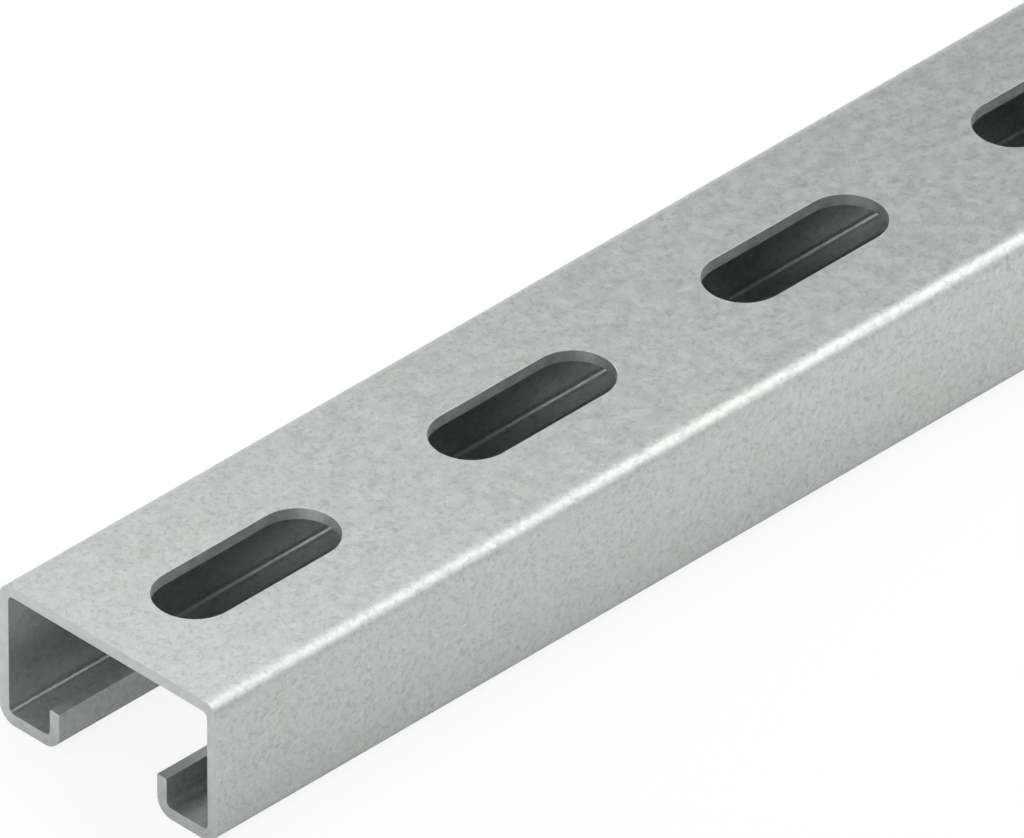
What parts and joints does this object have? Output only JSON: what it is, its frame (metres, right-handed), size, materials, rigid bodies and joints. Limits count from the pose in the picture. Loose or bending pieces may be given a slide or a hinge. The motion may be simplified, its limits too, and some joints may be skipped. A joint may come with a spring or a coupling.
{
  "type": "anchor channel",
  "caption": "Cold-formed galvanised C-section steel channel with turned-in lips along its open side and a row of round-ended slots in its web, for fixing to a wall or ceiling.",
  "frame": {"origin": "middle of the length, half way across, in the plane of the lips' undersides", "axes": "+X along the channel, +Y across it, +Z from the lips up to the slotted web"},
  "size_m": [0.5, 0.04, 0.022],
  "materials": {
    "galvanised_steel": "satin"
  },
  "bodies": {
    "root": {"anchor_channel": "galvanised_steel"}
  },
  "joints": []
}
